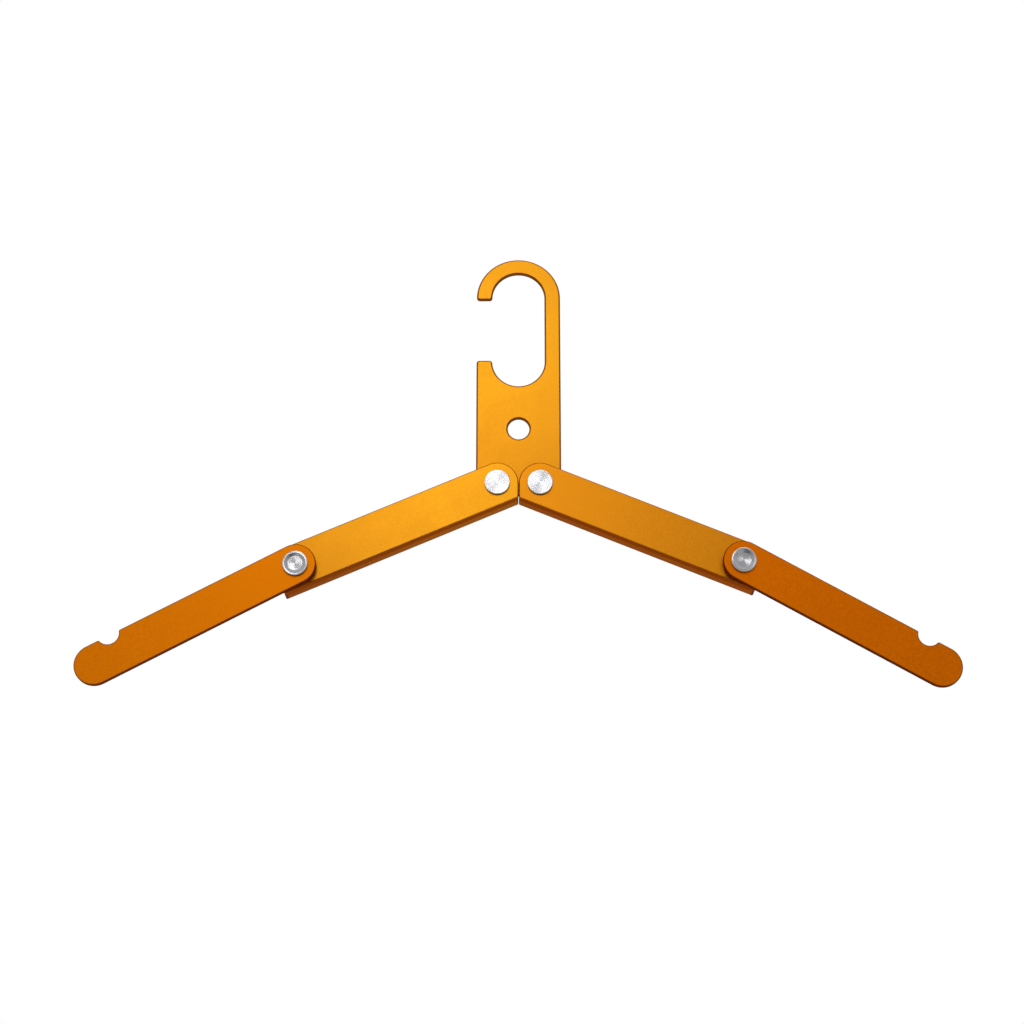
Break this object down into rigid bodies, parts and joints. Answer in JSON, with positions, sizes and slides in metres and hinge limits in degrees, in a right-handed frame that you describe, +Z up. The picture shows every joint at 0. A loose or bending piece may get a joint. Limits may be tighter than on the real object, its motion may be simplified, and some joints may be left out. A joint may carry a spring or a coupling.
{
  "type": "folding travel hanger",
  "caption": "Folding travel hanger: slotted hook plate, trough-shaped inner arms that fold up along it, and flat outer arms that swing back over them.",
  "frame": {"origin": "top of the hook's slot at mid thickness, where the hanger hangs on a rod", "axes": "+Z up, +X to the right of someone facing the front, -Y out of the front, where the dished pivot heads are"},
  "size_m": [0.4016, 0.017, 0.2126],
  "materials": {
    "amber_anodised": "bead-blasted, amber anodised, satin",
    "copper_anodised": "bead-blasted, deep orange anodised, satin",
    "turned_silver": "turned on a lathe, bright",
    "slip_nylon": "natural nylon, matte",
    "spring_steel": "grey spring steel"
  },
  "bodies": {
    "hook": {"hook_plate": "amber_anodised"},
    "left_trough": {"left_inner_arm": "amber_anodised", "left_inner_pivot_pin": "turned_silver", "left_inner_pivot_cap": "turned_silver", "left_inner_front_washer": "slip_nylon", "left_inner_rear_washer": "slip_nylon", "left_outer_spring_washer": "spring_steel"},
    "left_bar": {"left_outer_arm": "copper_anodised", "left_outer_pivot_pin": "turned_silver", "left_outer_pivot_cap": "turned_silver", "left_outer_slip_washer": "slip_nylon", "left_outer_stop_pin": "spring_steel"},
    "right_trough": {"right_inner_arm": "amber_anodised", "right_inner_pivot_pin": "turned_silver", "right_inner_pivot_cap": "turned_silver", "right_inner_front_washer": "slip_nylon", "right_inner_rear_washer": "slip_nylon", "right_outer_spring_washer": "spring_steel"},
    "right_bar": {"right_outer_arm": "copper_anodised", "right_outer_pivot_pin": "turned_silver", "right_outer_pivot_cap": "turned_silver", "right_outer_slip_washer": "slip_nylon", "right_outer_stop_pin": "spring_steel"}
  },
  "joints": [
    {"name": "left_inner_fold", "type": "hinge", "parent": "hook", "child": "left_trough", "pos_m": [-0.01, 0, -0.107], "axis": [0, 1, 0], "range_deg": [0, 113.2]},
    {"name": "left_outer_fold", "type": "hinge", "parent": "left_trough", "child": "left_bar", "pos_m": [-0.10247, 0, -0.14763], "axis": [0, 1, 0], "range_deg": [0, 184.1]},
    {"name": "right_inner_fold", "type": "hinge", "parent": "hook", "child": "right_trough", "pos_m": [0.01, 0, -0.107], "axis": [0, -1, 0], "range_deg": [0, 112.2]},
    {"name": "right_outer_fold", "type": "hinge", "parent": "right_trough", "child": "right_bar", "pos_m": [0.10317, 0, -0.14601], "axis": [0, -1, 0], "range_deg": [0, 186.6]}
  ]
}
